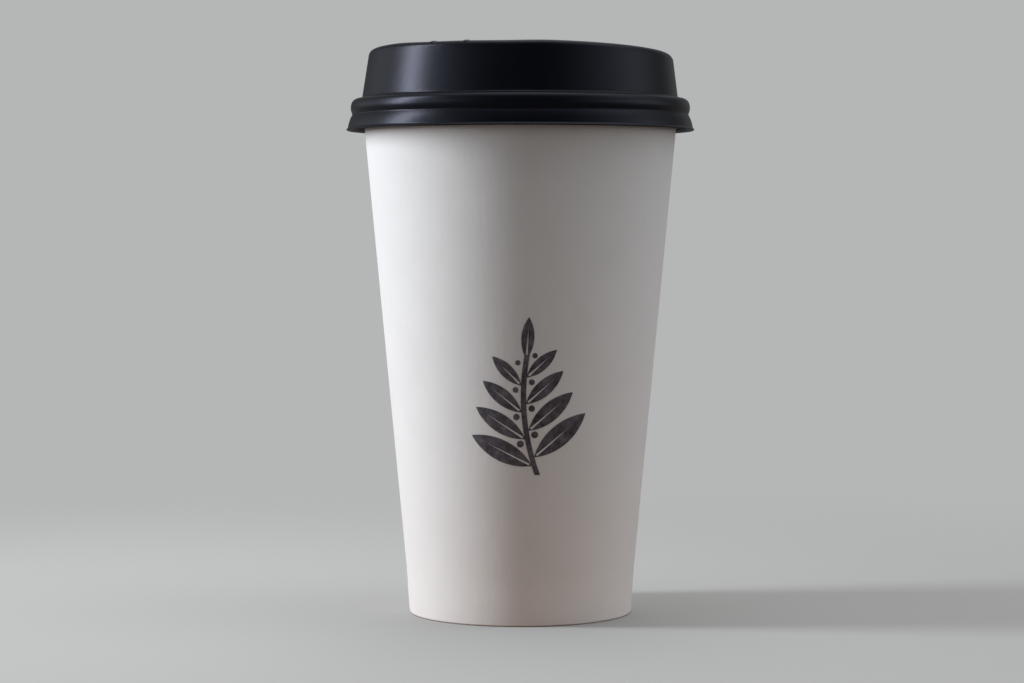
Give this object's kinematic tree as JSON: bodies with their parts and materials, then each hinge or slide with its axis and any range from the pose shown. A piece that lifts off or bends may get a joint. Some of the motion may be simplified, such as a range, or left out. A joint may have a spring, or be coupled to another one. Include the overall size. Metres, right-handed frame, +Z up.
{
  "type": "paper coffee cup",
  "caption": "Tall single-wall paper cup for hot drinks with a black press-fitted travel lid and a printed leaf sprig.",
  "frame": {"origin": "on the cup's axis, on the surface that the cup stands on", "axes": "+Z up along the cup's axis, -Y towards the printed front, +X to the right seen from the front"},
  "size_m": [0.0936, 0.0936, 0.1522],
  "materials": {
    "paper_board": "uncoated white paper board outside, satin coated inside",
    "lid_plastic": "satin black formed sheet",
    "ink": "matt stamped ink, slightly mottled"
  },
  "bodies": {
    "cup": {"cup_wall": "paper_board", "cup_base": "paper_board", "print": "ink"},
    "lid": {"lid": "lid_plastic"}
  },
  "joints": [
    {"name": "lid_lift", "type": "slide", "parent": "cup", "child": "lid", "axis": [0, 0, 1], "range_m": [0, 0.1]}
  ]
}
